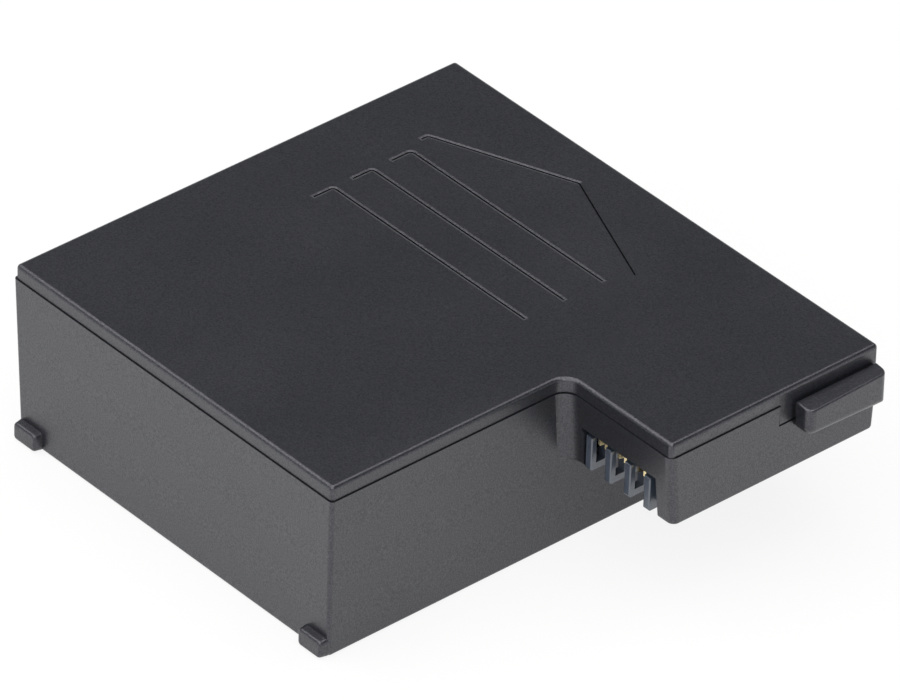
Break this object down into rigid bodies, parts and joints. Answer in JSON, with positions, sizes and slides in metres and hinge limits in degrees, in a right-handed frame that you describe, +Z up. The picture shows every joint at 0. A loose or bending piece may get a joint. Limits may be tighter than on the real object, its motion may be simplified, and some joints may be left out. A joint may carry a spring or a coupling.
{
  "type": "camera battery",
  "caption": "Flat rechargeable camera battery pack: a thick block with a thinner arm beside an open corner, recessed terminals in the arm, a striped cover and a finger lip.",
  "frame": {"origin": "centre of the thick block's flat underside", "axes": "+Z up through the cover, +X from the block out along the arm, +Y towards the side the arm is on, away from the open corner"},
  "size_m": [0.0433, 0.0383, 0.0137],
  "materials": {
    "housing_plastic": "fine spark-eroded matt",
    "cover_plastic": "fine spark-eroded matt",
    "terminal_plastic": "satin moulded",
    "gold_plate": "gold plated",
    "can_aluminium": "drawn satin",
    "adhesive_film": "double-sided film",
    "foam": "closed-cell foam",
    "insulating_paper": "pressed fibre paper",
    "nickel_strip": "rolled",
    "nickel_plate": "rolled, soldered",
    "board_laminate": "solder mask over glass laminate",
    "moulding_compound": "moulded epoxy",
    "chip_ceramic": "glazed top",
    "capacitor_ceramic": "fired"
  },
  "bodies": {
    "root": {"housing": "housing_plastic", "top_cover": "cover_plastic", "terminal_block": "terminal_plastic", "contact_negative": "gold_plate", "contact_sense": "gold_plate", "contact_positive": "gold_plate", "cell": "can_aluminium", "adhesive_pad": "adhesive_film", "foam_pad": "foam", "end_insulator": "insulating_paper", "tab_negative": "nickel_strip", "tab_positive": "nickel_strip", "weld_pad_negative": "nickel_plate", "weld_pad_positive": "nickel_plate", "circuit_board": "board_laminate", "protection_ic": "moulding_compound", "switch_transistor": "moulding_compound", "thermistor": "chip_ceramic", "identity_resistor": "chip_ceramic", "filter_resistor": "chip_ceramic", "filter_capacitor": "capacitor_ceramic"}
  },
  "joints": []
}
